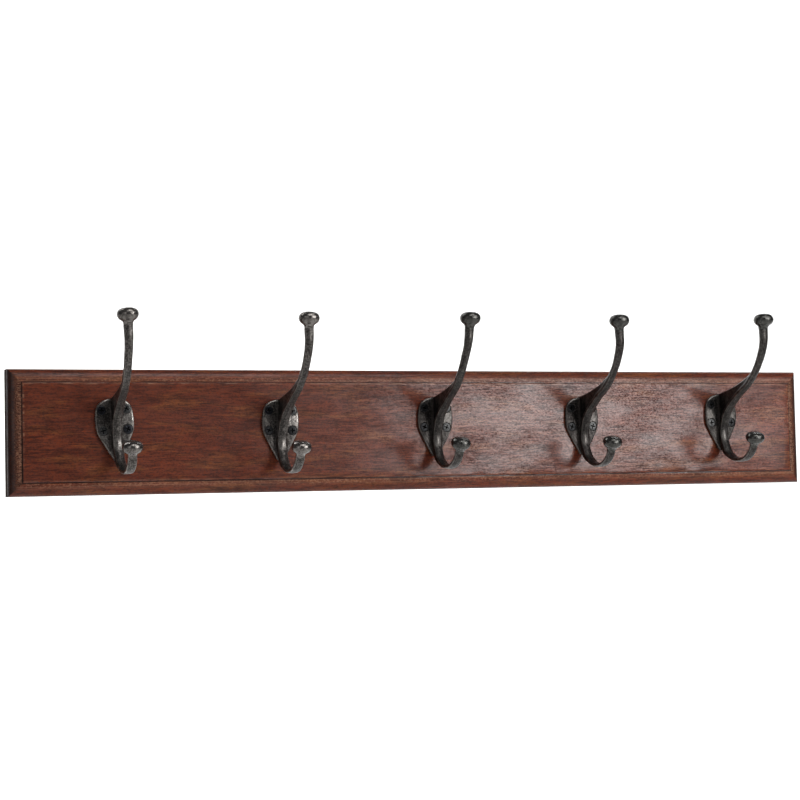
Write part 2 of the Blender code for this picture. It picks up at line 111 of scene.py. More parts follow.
# a Recipe is one material and the nodes that it is made of
class Recipe:
    def __init__(self, name):
        self.material = bpy.data.materials.new(name)
        self.material.use_nodes = True
        self.tree = self.material.node_tree
        self.tree.nodes.clear()

    def node(self, kind, settings=None, sockets=None, out=0):
        made = self.tree.nodes.new("ShaderNode" + kind)
        for key, value in (settings or {}).items():
            setattr(made, key, value)
        for key, value in (sockets or {}).items():
            self.plug(made.inputs[key], value)
        return Wire(self, made.outputs[out]) if made.outputs else None

    def plug(self, socket, value):
        if isinstance(value, Wire):
            self.tree.links.new(value.socket, socket)
        else:
            socket.default_value = value

    def place(self):
        # the piece's own coordinates in metres, as a vector and as its three parts
        vector = self.node("TexCoord", out="Object")
        split = [self.node("SeparateXYZ", {}, {0: vector}, out=axis) for axis in range(3)]
        return vector, split

    def cloud(self, vector, stretch, detail, roughness):
        # soft noise, finer where the stretch is larger
        scaled = self.node("VectorMath", {"operation": "MULTIPLY"}, {0: vector, 1: stretch})
        sockets = {"Vector": scaled, "Scale": 1.0, "Detail": detail, "Roughness": roughness}
        return self.node("TexNoise", {"noise_dimensions": "3D"}, sockets)

    def clouds(self, vector, rows):
        return {name: self.cloud(vector, *row) for name, row in rows.items()}

    def blendColour(self, factor, *colours):
        # from the first colour to the second; a colour is three numbers or a wire
        first, second = [c if isinstance(c, Wire) else (*c, 1.0) for c in colours]
        settings = {"data_type": "RGBA", "blend_type": "MIX"}
        return self.node("Mix", settings, {0: factor, 6: first, 7: second}, out=2)

    def attribute(self, name):
        settings = {"attribute_name": name, "attribute_type": "GEOMETRY"}
        return self.node("Attribute", settings, out="Fac")

    def distance(self, vector, spot):
        return self.node("VectorMath", {"operation": "DISTANCE"}, {0: vector, 1: spot}, out="Value")

    def bump(self, height, distance, strength):
        sockets = {"Height": height, "Distance": distance, "Strength": strength}
        return self.node("Bump", {}, sockets, out="Normal")

    def finish(self, **looks):
        names = {
            "colour": "Base Color",
            "gloss": "Specular IOR Level",
            "coat": "Coat Weight",
            "shine": "Coat Roughness",
        }
        sockets = {names.get(key, key.capitalize()): value for key, value in looks.items()}
        self.node("OutputMaterial", {}, {"Surface": self.node("BsdfPrincipled", {}, sockets)})
        return self.material


def addPiece(name, mesh, place=None):
    piece = bpy.data.objects.new(name, mesh)
    scene.collection.objects.link(piece)
    if place is not None:
        piece.matrix_world = place
    return piece


def bakedMesh(piece, name):
    # the piece's mesh with its modifiers applied; the piece itself goes
    bpy.context.view_layer.update()
    graph = bpy.context.evaluated_depsgraph_get()
    mesh = bpy.data.meshes.new_from_object(piece.evaluated_get(graph))
    mesh.name = name
    bpy.data.objects.remove(piece, do_unlink=True)
    return mesh


def curveThrough(points, steps):
    # a smooth curve through the points, with this many steps between each two
    padded = [points[0], *points, points[-1]]
    curve = []
    for before, start, end, after in zip(padded, padded[1:], padded[2:], padded[3:]):
        for step in range(steps):
            t = step / steps
            spot = []
            for a, b, c, d in zip(before, start, end, after):
                line = 2 * b + (c - a) * t
                bend = (2 * a - 5 * b + 4 * c - d) * t**2 + (3 * b - a - 3 * c + d) * t**3
                spot.append((line + bend) / 2)
            curve.append(tuple(spot))
    curve.append(tuple(points[-1]))
    return curve


def isLevel(edge, height):
    return all(abs(vertex.co.z - height) < 1e-7 for vertex in edge.verts)


def slab(outline, thickness, softening=0.0, softRims=1):
    # a flat outline in XY, from z = 0 down, its rims rounded by the softening
    bm = bmesh.new()
    top = bm.faces.new([bm.verts.new((x, y, 0.0)) for x, y in outline])
    grown = bmesh.ops.extrude_face_region(bm, geom=[top])
    moved = [v for v in grown["geom"] if isinstance(v, bmesh.types.BMVert)]
    bmesh.ops.translate(bm, vec=(0, 0, -thickness), verts=moved)
    bmesh.ops.recalc_face_normals(bm, faces=bm.faces)
    if softening:
        heights = (0.0, -thickness)[:softRims]
        rims = [edge for edge in bm.edges if any(isLevel(edge, height) for height in heights)]
        bmesh.ops.bevel(bm, geom=rims, offset=softening, segments=4, profile=0.5, affect="EDGES")
    return meshFrom(bm, "slab")


def meshFrom(bm, name):
    mesh = bpy.data.meshes.new(name)
    bm.to_mesh(mesh)
    bm.free()
    return mesh


def turned(profile, sides, wobble=None):
    # radius and height pairs turned about Z; wobble(angle, height) may add to a radius
    bm = bmesh.new()
    rings = []
    for radius, height in profile:
        if radius < 1e-7:
            rings.append([bm.verts.new((0, 0, height))])
            continue
        ring = []
        for side in range(sides):
            angle = 2 * math.pi * side / sides
            reach = radius + (wobble(angle, height) if wobble else 0)
            ring.append(bm.verts.new((reach * math.cos(angle), reach * math.sin(angle), height)))
        rings.append(ring)
    for first, second in zip(rings, rings[1:]):
        for side in range(sides):
            beside = (side + 1) % sides
            corners = [first[side % len(first)], second[side % len(second)]]
            corners += [second[beside % len(second)], first[beside % len(first)]]
            bm.faces.new(dict.fromkeys(corners))
    bmesh.ops.recalc_face_normals(bm, faces=bm.faces)
    return meshFrom(bm, "turned")


def loft(loops):
    # closed loops of points joined one to the next, with both ends filled
    bm = bmesh.new()
    rings = [[bm.verts.new(spot) for spot in loop] for loop in loops]
    for first, second in zip(rings, rings[1:]):
        for index in range(len(first)):
            beside = (index + 1) % len(first)
            bm.faces.new((first[index], first[beside], second[beside], second[index]))
    bm.faces.new(rings[0])
    bm.faces.new(reversed(rings[-1]))
    bmesh.ops.recalc_face_normals(bm, faces=bm.faces)
    return meshFrom(bm, "loft")


def gathered(meshes, places=None):
    # several meshes as one, each at its place
    bm = bmesh.new()
    for index, mesh in enumerate(meshes):
        copy = mesh.copy()
        if places:
            copy.transform(places[index])
        bm.from_mesh(copy)
        bpy.data.meshes.remove(copy)
    return meshFrom(bm, "gathered")


def carved(mesh, cutter, solver="EXACT"):
    body = addPiece("body", mesh)
    tool = addPiece("tool", cutter)
    cut = body.modifiers.new("cut", "BOOLEAN")
    cut.operation = "DIFFERENCE"
    cut.solver = solver
    cut.object = tool
    done = bakedMesh(body, "carved")
    bpy.data.objects.remove(tool, do_unlink=True)
    return done


def shadeRound(mesh, degrees):
    mesh.shade_smooth()
    mesh.set_sharp_from_angle(angle=math.radians(degrees))


def setMaterials(mesh, *materials):
    mesh.materials.clear()
    for material in materials:
        mesh.materials.append(material)


def arc(radius, centre, start, turn, steps):
    angles = [start + turn * step / steps for step in range(steps + 1)]
    return [(centre[0] + radius * math.cos(a), centre[1] + radius * math.sin(a)) for a in angles]


def fieldNoise(spot, scale, seed):
    # smooth noise about 0 in two octaves; each seed gives another stretch of it
    moved = Vector(spot) * scale + Vector((seed, 2 * seed, 3 * seed))
    return noise.fractal(moved, 1.0, 2.0, 2)


# where the camera stands, in metres, and how it is turned, in degrees
cameraSettings = {
    "place": (-0.7098, -1.8116, -0.0726),
    "turn": 20.613,
    "tilt": 3.076,
    "roll": -1.241,
    "lens": 85.13,
    "sensor": 36,
    "farthest": 100,
}


def makeCamera():
    s = cameraSettings
    turn, tilt, roll = (math.radians(s[key]) for key in ("turn", "tilt", "roll"))
    flat = math.cos(tilt)
    ahead = Vector((math.sin(turn) * flat, math.cos(turn) * flat, math.sin(tilt)))
    level = Vector((math.cos(turn), -math.sin(turn), 0))
    upright = level.cross(ahead)
    right = level * math.cos(roll) + upright * math.sin(roll)
    up = upright * math.cos(roll) - level * math.sin(roll)
    lens = bpy.data.cameras.new("camera")
    lens.lens = s["lens"]
    lens.sensor_width = s["sensor"]
    lens.clip_end = s["farthest"]
    camera = addPiece("camera", lens)
    turnMatrix = Matrix((right, up, -ahead)).transposed()
    camera.matrix_world = Matrix.Translation(s["place"]) @ turnMatrix.to_4x4()
    scene.camera = camera


# the board: a flat field, with a quirk and a quarter round moulded along all four sides
boardSettings = {
    "mouldingWidth": 0.013,
    "mouldingDrop": 0.0095,
    "quirk": 0.0015,
    "quirkSlope": 0.0003,
    # the field's rubbed arris: inwards from the shoulder, and depth below the face
    "arris": ((-0.0001, 0.00045), (0.00015, 0.00012), (0.0006, 0.00001), (0.0016, 0.0)),
    "roundSteps": 12,
    "fieldStep": 0.006,
    "arrisWear": 0.00035,
    "arrisMiddle": 0.0002,
    "arrisReach": 0.0012,
    "chips": {"scale": 55, "seed": 4, "swing": 0.9, "base": 0.25},
    "waviness": 0.00010,
    "waves": {"scale": 40, "seed": 9, "stretch": 0.5},
    "backSoftening": 0.0008,
    "pocketReach": 0.0105,
    "pocketMargin": 0.02,
    # across, up, reach, depth
    "dents": (
        (0.3095, 0.0035, 0.0022, 0.0003),
        (-0.246, -0.022, 0.0016, 0.00015),
        (0.087, 0.029, 0.0012, 0.00015),
    ),
    "backFacing": 0.7,
    "roundAngle": 35,
}


def mouldingProfile():
    # inset from the board's edge, and depth below its face
    s = boardSettings
    roundDrop = s["mouldingDrop"] - s["quirk"]
    rows = []
    for step in range(s["roundSteps"] + 1):
        angle = math.pi / 2 * step / s["roundSteps"]
        inset = s["mouldingWidth"] * (1 - math.cos(angle))
        rows.append((inset, s["mouldingDrop"] - roundDrop * math.sin(angle)))
    shoulder = s["mouldingWidth"] + s["quirkSlope"]
    return rows + [(shoulder + inwards, depth) for inwards, depth in s["arris"]]


def depthAt(inset, rows):
    for (insetA, depthA), (insetB, depthB) in zip(rows, rows[1:]):
        if inset <= insetB + 1e-9:
            share = (inset - insetA) / (insetB - insetA)
            return depthA + (depthB - depthA) * share
    return 0.0


def spacedLine(low, high, rows, step):
    # places along one side of the board: the moulding's rows at both ends, even steps between
    insets = [inset for inset, _ in rows]
    first, last = low + insets[-1], high - insets[-1]
    count = max(2, round((last - first) / step))
    middle = [first + (last - first) * index / count for index in range(1, count)]
    return [low + inset for inset in insets] + middle + [high - inset for inset in reversed(insets)]


def boardRelief(x, z, inset, shoulder):
    # what wear, waves and dents add to the depth at a point: on the arris, and on the field
    s = boardSettings
    chips, waves = s["chips"], s["waves"]
    worn = max(0.0, 1 - abs(inset - shoulder - s["arrisMiddle"]) / s["arrisReach"])
    chip = fieldNoise((x, 0, z), chips["scale"], chips["seed"]) * chips["swing"] + chips["base"]
    swell = fieldNoise((x * waves["stretch"], 0, z), waves["scale"], waves["seed"]) * s["waviness"]
    for dentX, dentZ, reach, deep in s["dents"]:
        away = math.hypot((x - dentX) / 2, z - dentZ) / reach
        swell += deep * math.exp(-away * away)
    chipped = s["arrisWear"] * worn * max(0.0, chip)
    return chipped, (swell if inset > shoulder else 0.0)


def isMitred(vertex, low, high):
    # true on the diagonals where two mouldings meet
    x, _, z = vertex.co
    return abs(min(x - low.x, high.x - x) - min(z - low.z, high.z - z)) < 1e-6


def boardMesh():
    s = boardSettings
    low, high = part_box("back_board")
    rows = mouldingProfile()
    across = spacedLine(low.x, high.x, rows, s["fieldStep"])
    upward = spacedLine(low.z, high.z, rows, s["fieldStep"])
    shoulder = s["mouldingWidth"] + s["quirkSlope"]
    bm = bmesh.new()
    grid = []
    for z in upward:
        line = []
        for x in across:
            inset = min(x - low.x, high.x - x, z - low.z, high.z - z)
            chipped, swell = boardRelief(x, z, inset, shoulder)
            depth = depthAt(inset, rows) + chipped + swell
            line.append(bm.verts.new((x, low.y + max(depth, 0.0), z)))
        grid.append(line)
    for first, second in zip(grid, grid[1:]):
        for index in range(len(first) - 1):
            corners = (first[index], first[index + 1], second[index + 1], second[index])
            mitred = [isMitred(vertex, low, high) for vertex in corners]
            if mitred[0] and mitred[2]:
                bm.faces.new((corners[0], corners[1], corners[2]))
                bm.faces.new((corners[0], corners[2], corners[3]))
            elif mitred[1] and mitred[3]:
                bm.faces.new((corners[1], corners[2], corners[3]))
                bm.faces.new((corners[1], corners[3], corners[0]))
            else:
                bm.faces.new(corners)
    rim = grid[0] + [line[-1] for line in grid[1:]]
    rim += grid[-1][-2::-1] + [line[0] for line in grid[-2:0:-1]]
    soft = s["backSoftening"]
    previous = rim
    for y, inset in ((high.y - soft, 0.0), (high.y - soft * 0.3, soft * 0.3), (high.y, soft)):
        ring = []
        for v in rim:
            x = min(max(v.co.x, low.x + inset), high.x - inset)
            z = min(max(v.co.z, low.z + inset), high.z - inset)
            ring.append(bm.verts.new((x, y, z)))
        for index in range(len(rim)):
            beside = (index + 1) % len(rim)
            bm.faces.new((previous[index], previous[beside], ring[beside], ring[index]))
        previous = ring
    bm.faces.new(previous)
    bmesh.ops.recalc_face_normals(bm, faces=bm.faces)
    return meshFrom(bm, "board")


# the keyhole hangers, let into the back over a pocket for the head of a wall screw
hangerSettings = {
    "height": 0.050,
    "width": 0.020,
    "thickness": 0.0016,
    "softening": 0.00025,
    "sink": 0.0004,
    "screwSpacing": 0.038,
    # the screw holes, radius and height
    "hole": ((0, 0.0005), (0.0043, 0.0005), (0.0017, -0.0021), (0.0017, -0.004), (0, -0.004)),
    "holeSides": 48,
    "entryRadius": 0.0045,
    "slotWidth": 0.0045,
    "slotRise": 0.0095,
    "entryDrop": 0.005,
    "headRoom": 0.002,
    "pocketDepth": 0.008,
    "seatGap": 0.0004,
    "gap": 0.0003,
    "cutterOver": 0.002,
    "endSteps": 24,
    "entrySteps": 40,
    "roundAngle": 30,
}


def roundedBar(halfWidth, bottom, top):
    steps = hangerSettings["endSteps"]
    upper = arc(halfWidth, (0, top - halfWidth), 0, math.pi, steps)
    return upper + arc(halfWidth, (0, bottom + halfWidth), math.pi, math.pi, steps)


def pocketCutters():
    s = hangerSettings
    reach = s["height"] / 2 + s["seatGap"]
    depth = s["sink"] + s["thickness"] + s["gap"]
    lift = Matrix.Translation((0, 0, depth))
    seat = slab(roundedBar(s["width"] / 2 + s["seatGap"], -reach, reach), 2 * depth)
    room = s["entryRadius"] + s["headRoom"]
    pocketLine = roundedBar(room, -s["entryDrop"] - room, s["slotRise"] - s["entryDrop"] + room)
    pocket = slab(pocketLine, s["pocketDepth"] + s["cutterOver"])
    cutters = []
    for name in ("hanger_left", "hanger_right"):
        low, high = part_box(name)
        spot = Matrix.Translation(((low.x + high.x) / 2, 0, (low.z + high.z) / 2)) @ faceBack
        cutters.append((seat, spot @ lift))
        cutters.append((pocket, spot @ Matrix.Translation((0, 0, s["cutterOver"]))))
    return cutters


def hangerMesh():
    s = hangerSettings
    outline = roundedBar(s["width"] / 2, -s["height"] / 2, s["height"] / 2)
    plate = slab(outline, s["thickness"], s["softening"], 2)
    half = s["slotWidth"] / 2
    meet = math.asin(half / s["entryRadius"])
    start, turn = math.pi / 2 + meet, 2 * (math.pi - meet)
    keyhole = arc(s["entryRadius"], (0, -s["entryDrop"]), start, turn, s["entrySteps"])
    keyhole += arc(half, (0, s["slotRise"] - s["entryDrop"]), 0, math.pi, s["endSteps"])
    tools = [slab(keyhole, s["thickness"] + s["cutterOver"])]
    places = [Matrix.Translation((0, 0, s["cutterOver"] / 2))]
    sink = turned(s["hole"], s["holeSides"])
    for up in (1, -1):
        tools.append(sink)
        places.append(Matrix.Translation((0, up * s["screwSpacing"] / 2, 0)))
    mesh = carved(plate, gathered(tools, places))
    shadeRound(mesh, s["roundAngle"])
    return mesh


# the hooks: one casting each, of a plate, a web, a bent arm and two knobs
hookSettings = {
    "plateThickness": 0.0035,
    "plateSoftening": 0.0011,
    # the right half of the plate's outline: across, up
    "plateHalf": (
        (0.0, 0.0214), (0.0095, 0.0192), (0.0161, 0.0140), (0.0186, 0.0040),
        (0.0182, -0.0095), (0.0135, -0.0205), (0.0075, -0.0315), (0.0032, -0.0392),
    ),
    "outlineSteps": 8,
    "webThickness": 0.0044,
    # the web's upper and lower lines: out from the board, up
    "webTop": (
        (0.0015, 0.0205), (0.0060, 0.0217), (0.0280, 0.0257),
        (0.0485, 0.0309), (0.0650, 0.0369),
    ),
    "webTip": ((0.0100, -0.0422), (0.0055, -0.0400), (0.0015, -0.0365)),
    # the rows of the arm between which the web joins it
    "webStations": (4, 10),
    "webSteps": 4,
    # the arm's front line from the upper knob's neck to the lower knob's:
    # out from the board, up, width, thickness
    "arm": (
        (0.0985, 0.0905, 0.0100, 0.0080),
        (0.0985, 0.0820, 0.0090, 0.0072),
        (0.0974, 0.0685, 0.0082, 0.0070),
        (0.0915, 0.0555, 0.0077, 0.0068),
        (0.0805, 0.0408, 0.0074, 0.0063),
        (0.0637, 0.0264, 0.0078, 0.0056),
        (0.0403, 0.0144, 0.0085, 0.0052),
        (0.0205, 0.0015, 0.0093, 0.0050),
        (0.0125, -0.0105, 0.0094, 0.0056),
        (0.0098, -0.0235, 0.0093, 0.0070),
        (0.0160, -0.0370, 0.0093, 0.0086),
        (0.0225, -0.0437, 0.0093, 0.0054),
        (0.0330, -0.0480, 0.0093, 0.0044),
        (0.0490, -0.0478, 0.0092, 0.0044),
        (0.0610, -0.0415, 0.0089, 0.0044),
        (0.0662, -0.0335, 0.0088, 0.0042),
        (0.0690, -0.0285, 0.0088, 0.0042),
    ),
    "armSteps": 8,
    "sectionSteps": 6,
    "ridge": 0.20,
    "ridgePower": 1.25,
    "backCrown": 0.16,
    "upperKnob": {"radius": 0.0101, "place": (0.0962, 0.0925), "tilt": 0.0},
    "lowerKnob": {"radius": 0.0097, "place": (0.0706, -0.0281), "tilt": 14.0},
    "knobSides": 72,
    "knobSteps": 5,
    # radius and height, as shares of the knob's radius
    "knobProfile": (
        (0.0, 0.60), (0.50, 0.55), (0.86, 0.37), (1.02, 0.02),
        (0.97, -0.26), (0.80, -0.50), (0.50, -0.70), (0.42, -0.86),
    ),
    # the heights between which an arm bows sideways
    "bowFrom": 0.008,
    "bowTo": 0.098,
    # the skin: its grain size, how often all of it and its inner corners are rounded
    "grain": 0.00062,
    "roundings": 7,
    "fillets": 34,
    "filletReach": 0.03,
    "pull": 0.5,
    "lumps": 0.00010,
    "lumpScale": 120,
    "fineLumpScale": 420,
    "fineLump": 0.4,
    "rubbedEdge": 0.0006,
    "rubbedReach": 0.0011,
    "rimReach": 0.02,
    "sinkRadius": 0.0050,
    "holeRadius": 0.0023,
    "holeDepth": 0.008,
    "holeSides": 56,
    "cutterOver": 0.002,
    "roundAngle": 40,
    # a painted highlight on the arm's front: across, out, up, reach, strength
    "paintedRibbonHighlight": (0.0, -0.0115, -0.0225, 0.0062, 0.60),
}

# two of the castings are rubbed bright, and three are dark
brightCasting = {"edgeWear": 1.0, "knobDark": 0.0, "grit": 2.3}
darkCasting = {"polish": 0.60, "edgeWear": 0.9, "knobDark": 0.4, "knobLight": 0.15, "grit": 1.8}

# each casting's own bend, finish and rubbed places: across, up and reach on its plate, strength
hookTones = (
    {
        **brightCasting,
        "bow": -0.0006,
        "dark": (0.033, 0.0295, 0.0275),
        "light": (0.26, 0.24, 0.222),
        "polish": 0.75,
        "knobLight": 0.30,
        "rubs": (
            (0.011, 0.016, 0.006, 1.0),
            (0.0175, 0.0, 0.007, 0.8),
            (-0.010, 0.018, 0.005, 0.7),
            (-0.012, -0.012, 0.006, 0.5),
        ),
    },
    {
        **brightCasting,
        "bow": 0.0010,
        "dark": (0.029, 0.0255, 0.0238),
        "light": (0.24, 0.222, 0.206),
        "polish": 0.70,
        "knobLight": 0.45,
        "rubs": ((0.0145, 0.001, 0.0065, 1.0), (-0.012, 0.002, 0.006, 0.4)),
    },
    {
        **darkCasting,
        "bow": -0.0018,
        "dark": (0.0185, 0.0158, 0.0148),
        "light": (0.162, 0.150, 0.139),
        "rubs": ((0.014, 0.0, 0.0065, 0.45),),
    },
    {
        **darkCasting,
        "bow": 0.0013,
        "dark": (0.018, 0.0152, 0.0144),
        "light": (0.145, 0.133, 0.124),
        "rubs": ((0.012, -0.002, 0.005, 0.4),),
    },
    {
        **darkCasting,
        "bow": 0.0006,
        "dark": (0.0175, 0.0152, 0.0142),
        "light": (0.148, 0.138, 0.128),
        "rubs": ((-0.012, 0.001, 0.007, 0.60), (0.013, -0.004, 0.005, 0.3)),
    },
)


def plateMesh():
    s = hookSettings
    half = curveThrough(s["plateHalf"], s["outlineSteps"])
    outline = half + [(-x, z) for x, z in reversed(half[1:])]
    plate = slab(outline, s["plateThickness"], s["plateSoftening"])
    plate.transform(Matrix.Translation((0, -s["plateThickness"], 0)) @ faceForward)
    return plate


def bowAt(up, bow):
    # how far the arm leans sideways at a height
    s = hookSettings
    share = min(max((up - s["bowFrom"]) / (s["bowTo"] - s["bowFrom"]), 0.0), 1.0)
    return bow * math.sin(math.pi * share) ** 2


def armLine():
    # each row of the arm: out, up, which way is inwards, width, thickness
    curve = curveThrough(hookSettings["arm"], hookSettings["armSteps"])
    line = []
    for index, (out, up, width, thickness) in enumerate(curve):
        before, after = curve[max(index - 1, 0)], curve[min(index + 1, len(curve) - 1)]
        run = Vector((after[0] - before[0], after[1] - before[1])).normalized()
        line.append((out, up, run.y, -run.x, width, thickness))
    return line


def armMesh(bow):
    s = hookSettings
    half = s["sectionSteps"]
    shares = [step / half - 1 for step in range(2 * half + 1)]
    loops = []
    for out, up, inOut, inUp, width, thickness in armLine():
        section = [(share, s["ridge"] * abs(share) ** s["ridgePower"]) for share in shares]
        section += [(share, 1 - s["backCrown"] * share**2) for share in reversed(shares)]
        loop = []
        for share, depth in section:
            height = up + inUp * depth * thickness
            sideways = share * width / 2 + bowAt(height, bow)
            loop.append((sideways, -(out + inOut * depth * thickness), height))
        loops.append(loop)
    return loft(loops)


def webMesh():
    s = hookSettings
    first, last = (station * s["armSteps"] for station in s["webStations"])
    middle = []
    for out, up, inOut, inUp, _, thickness in armLine()[first:last]:
        middle.append((out + inOut * thickness / 2, up + inUp * thickness / 2))
    top = curveThrough(s["webTop"], s["webSteps"])
    web = slab([*top, *middle, *s["webTip"]], s["webThickness"])
    web.transform(Matrix.Translation((0, 0, s["webThickness"] / 2)))
    # drawn flat, then stood up across the plate
    web.transform(Matrix(((0, 0, 1, 0), (-1, 0, 0, 0), (0, 1, 0, 0), (0, 0, 0, 1))))
    return web


def knobMesh(knob, bow):
    profile = curveThrough(hookSettings["knobProfile"], hookSettings["knobSteps"])
    rounded = [(max(r, 0.0) * knob["radius"], z * knob["radius"]) for r, z in profile]
    mesh = turned([*rounded, (0, rounded[-1][1])], hookSettings["knobSides"])
    out, up = knob["place"]
    lean = Matrix.Rotation(math.radians(knob["tilt"]), 4, "X")
    mesh.transform(Matrix.Translation((bowAt(up, bow), -out, up)) @ lean)
    return mesh


def neighbours(mesh):
    # each edge's two ends, both ways round, and how many edges each point has
    ends = np.empty(len(mesh.edges) * 2, np.int32)
    mesh.edges.foreach_get("vertices", ends)
    ends = ends.reshape(-1, 2)
    first = np.concatenate([ends[:, 0], ends[:, 1]])
    second = np.concatenate([ends[:, 1], ends[:, 0]])
    count = np.bincount(first, minlength=len(mesh.vertices)).astype(float)
    return first, second, count


def around(values, links):
    # the mean of each point's neighbours
    first, second, count = links
    if values.ndim == 1:
        return np.bincount(first, values[second], len(count)) / count
    return np.stack([around(values[:, axis], links) for axis in range(3)], axis=1)


def smoothed(values, links, times):
    for _ in range(times):
        values = around(values, links)
    return values


def pointValues(mesh, field):
    values = np.empty(len(mesh.vertices) * 3)
    mesh.vertices.foreach_get(field, values)
    return values.reshape(-1, 3)


def addAttribute(mesh, name, values):
    attribute = mesh.attributes.new(name, "FLOAT", "POINT")
    attribute.data.foreach_set("value", values.astype(np.float32))


def softCorners(spots, normals, back, links):
    # rounds the whole skin a little and its inner corners a lot, as poured metal does
    s = hookSettings
    for turn in range(s["fillets"]):
        pull = around(spots, links) - spots
        hollow = smoothed((pull * normals).sum(axis=1), links, 3)
        share = np.clip(hollow / (s["filletReach"] * s["grain"]), 0, 1) * s["pull"]
        if turn < s["roundings"]:
            share = np.maximum(share, s["pull"])
        share[back] = 0
        spots = spots + pull * share[:, None]
    return spots


def plateEdge(spots):
    # 1 along the plate's outline and 0 a little way in from it
    s = hookSettings
    half = np.array(curveThrough(s["plateHalf"], s["outlineSteps"]))
    outline = np.concatenate([half, (half * (-1, 1))[::-1]])
    flat = spots[:, ::2]
    nearest = np.full(len(spots), 1.0)
    for start, end in zip(outline, outline[1:]):
        run = end - start
        share = np.clip(((flat - start) @ run) / max(run @ run, 1e-12), 0, 1)
        away = np.linalg.norm(flat - start - share[:, None] * run, axis=1)
        nearest = np.minimum(nearest, away)
    onPlate = spots[:, 1] > -s["plateThickness"] - s["grain"]
    return np.where(onPlate, 1 - (nearest - s["rubbedEdge"]) / s["rubbedReach"], 0).clip(0, 1)


def castSurface(mesh, seed):
    # soft corners and low lumps; "edge" and "rim" tell the finish where it gets rubbed
    s = hookSettings
    links = neighbours(mesh)
    spots = pointValues(mesh, "co")
    back = spots[:, 1] > -s["grain"]
    spots = softCorners(spots, pointValues(mesh, "normal"), back, links)
    mesh.vertices.foreach_set("co", spots.ravel())
    mesh.update()
    normals = pointValues(mesh, "normal")
    pull = around(spots, links) - spots
    raised = smoothed(-(pull * normals).sum(axis=1), links, 4)
    for index, spot in enumerate(spots):
        if not back[index]:
            lump = fieldNoise(spot, s["lumpScale"], seed)
            lump += s["fineLump"] * fieldNoise(spot, s["fineLumpScale"], seed + 5)
            spots[index] += normals[index] * lump * s["lumps"]
    mesh.vertices.foreach_set("co", spots.ravel())
    addAttribute(mesh, "edge", plateEdge(spots))
    addAttribute(mesh, "rim", (raised / (s["rimReach"] * s["grain"])).clip(-2, 4))
    mesh.update()


def screwSpots():
    # across and up for the four screws of one hook, named as the frame names them
    sides = {"left": -1, "right": 1}
    ends = {"top": 1, "bottom": -1}
    return {f"{end}_{side}": (sides[side], ends[end]) for end in ends for side in sides}


def hookMesh(index):
    s = hookSettings
    bow = hookTones[index]["bow"]
    parts = [plateMesh(), webMesh(), armMesh(bow)]
    parts += [knobMesh(s[knob], bow) for knob in ("upperKnob", "lowerKnob")]
    casting = addPiece("casting", gathered(parts))
    remesh = casting.modifiers.new("one skin", "REMESH")
    remesh.mode = "VOXEL"
    remesh.voxel_size = s["grain"]
    skin = bakedMesh(casting, "hook")
    castSurface(skin, 11 + index)
    face = -s["plateThickness"]
    slope = s["sinkRadius"] - s["holeRadius"]
    over = s["cutterOver"]
    bore = s["holeRadius"]
    profile = [(0, over), (s["sinkRadius"] + over, over), (bore, -slope)]
    profile += [(bore, -s["holeDepth"]), (0, -s["holeDepth"])]
    hole = turned(profile, s["holeSides"])
    places = []
    across, upward = screwSettings["spacing"]
    for side, up in screwSpots().values():
        spot = (side * across / 2, face, up * upward / 2)
        places.append(Matrix.Translation(spot) @ faceForward)
    mesh = carved(skin, gathered([hole] * 4, places), "MANIFOLD")
    shadeRound(mesh, s["roundAngle"])
    return mesh


# the screws; the recess's sizes are shares of the head's radius
screwSettings = {
    "spacing": (0.024, 0.0196),
    "hook": {"length": 0.02, "head": 0.0042, "shank": 0.002, "pitch": 0.0016, "thread": 0.00022},
    "hanger": {"length": 0.012, "head": 0.0028, "shank": 0.0014, "pitch": 0.0011, "thread": 0.00016},
    # the head's face: share of its radius, and height
    "face": ((0, 0), (0.45, 0), (0.80, -0.00002), (0.95, -0.00006), (0.99, -0.00014), (1, -0.0003)),
    "recess": {
        "arm": 0.70,
        "half": 0.19,
        "end": 0.15,
        "depth": 0.42,
        "shoulder": 0.93,
        "nose": 0.45,
        "flare": 1.25,
        "taper": 0.55,
    },
    "threadRows": 90,
    "threadWidth": 0.28,
    "sides": 48,
    "roundAngle": 32,
    "spin": 0.5,
}


def recessCutter(head):
    # a cross, wide at the face of the head and narrower below
    s = screwSettings["recess"]
    arm, root, end = (s[key] * head for key in ("arm", "half", "end"))
    shoulder, nose = arm * s["shoulder"], end * s["nose"]
    corners = ((shoulder, -end), (arm, -nose), (arm, nose), (shoulder, end), (root, root))
    outline = []
    for turn in range(4):
        spin = Matrix.Rotation(turn * math.pi / 2, 2)
        outline += [tuple(spin @ Vector(corner)) for corner in corners]
    depth = s["depth"] * head
    cutter = slab(outline, 2 * depth)
    for vertex in cutter.vertices:
        vertex.co.z += depth
        share = s["taper"] if vertex.co.z < 0 else s["flare"]
        vertex.co.x *= share
        vertex.co.y *= share
    return cutter


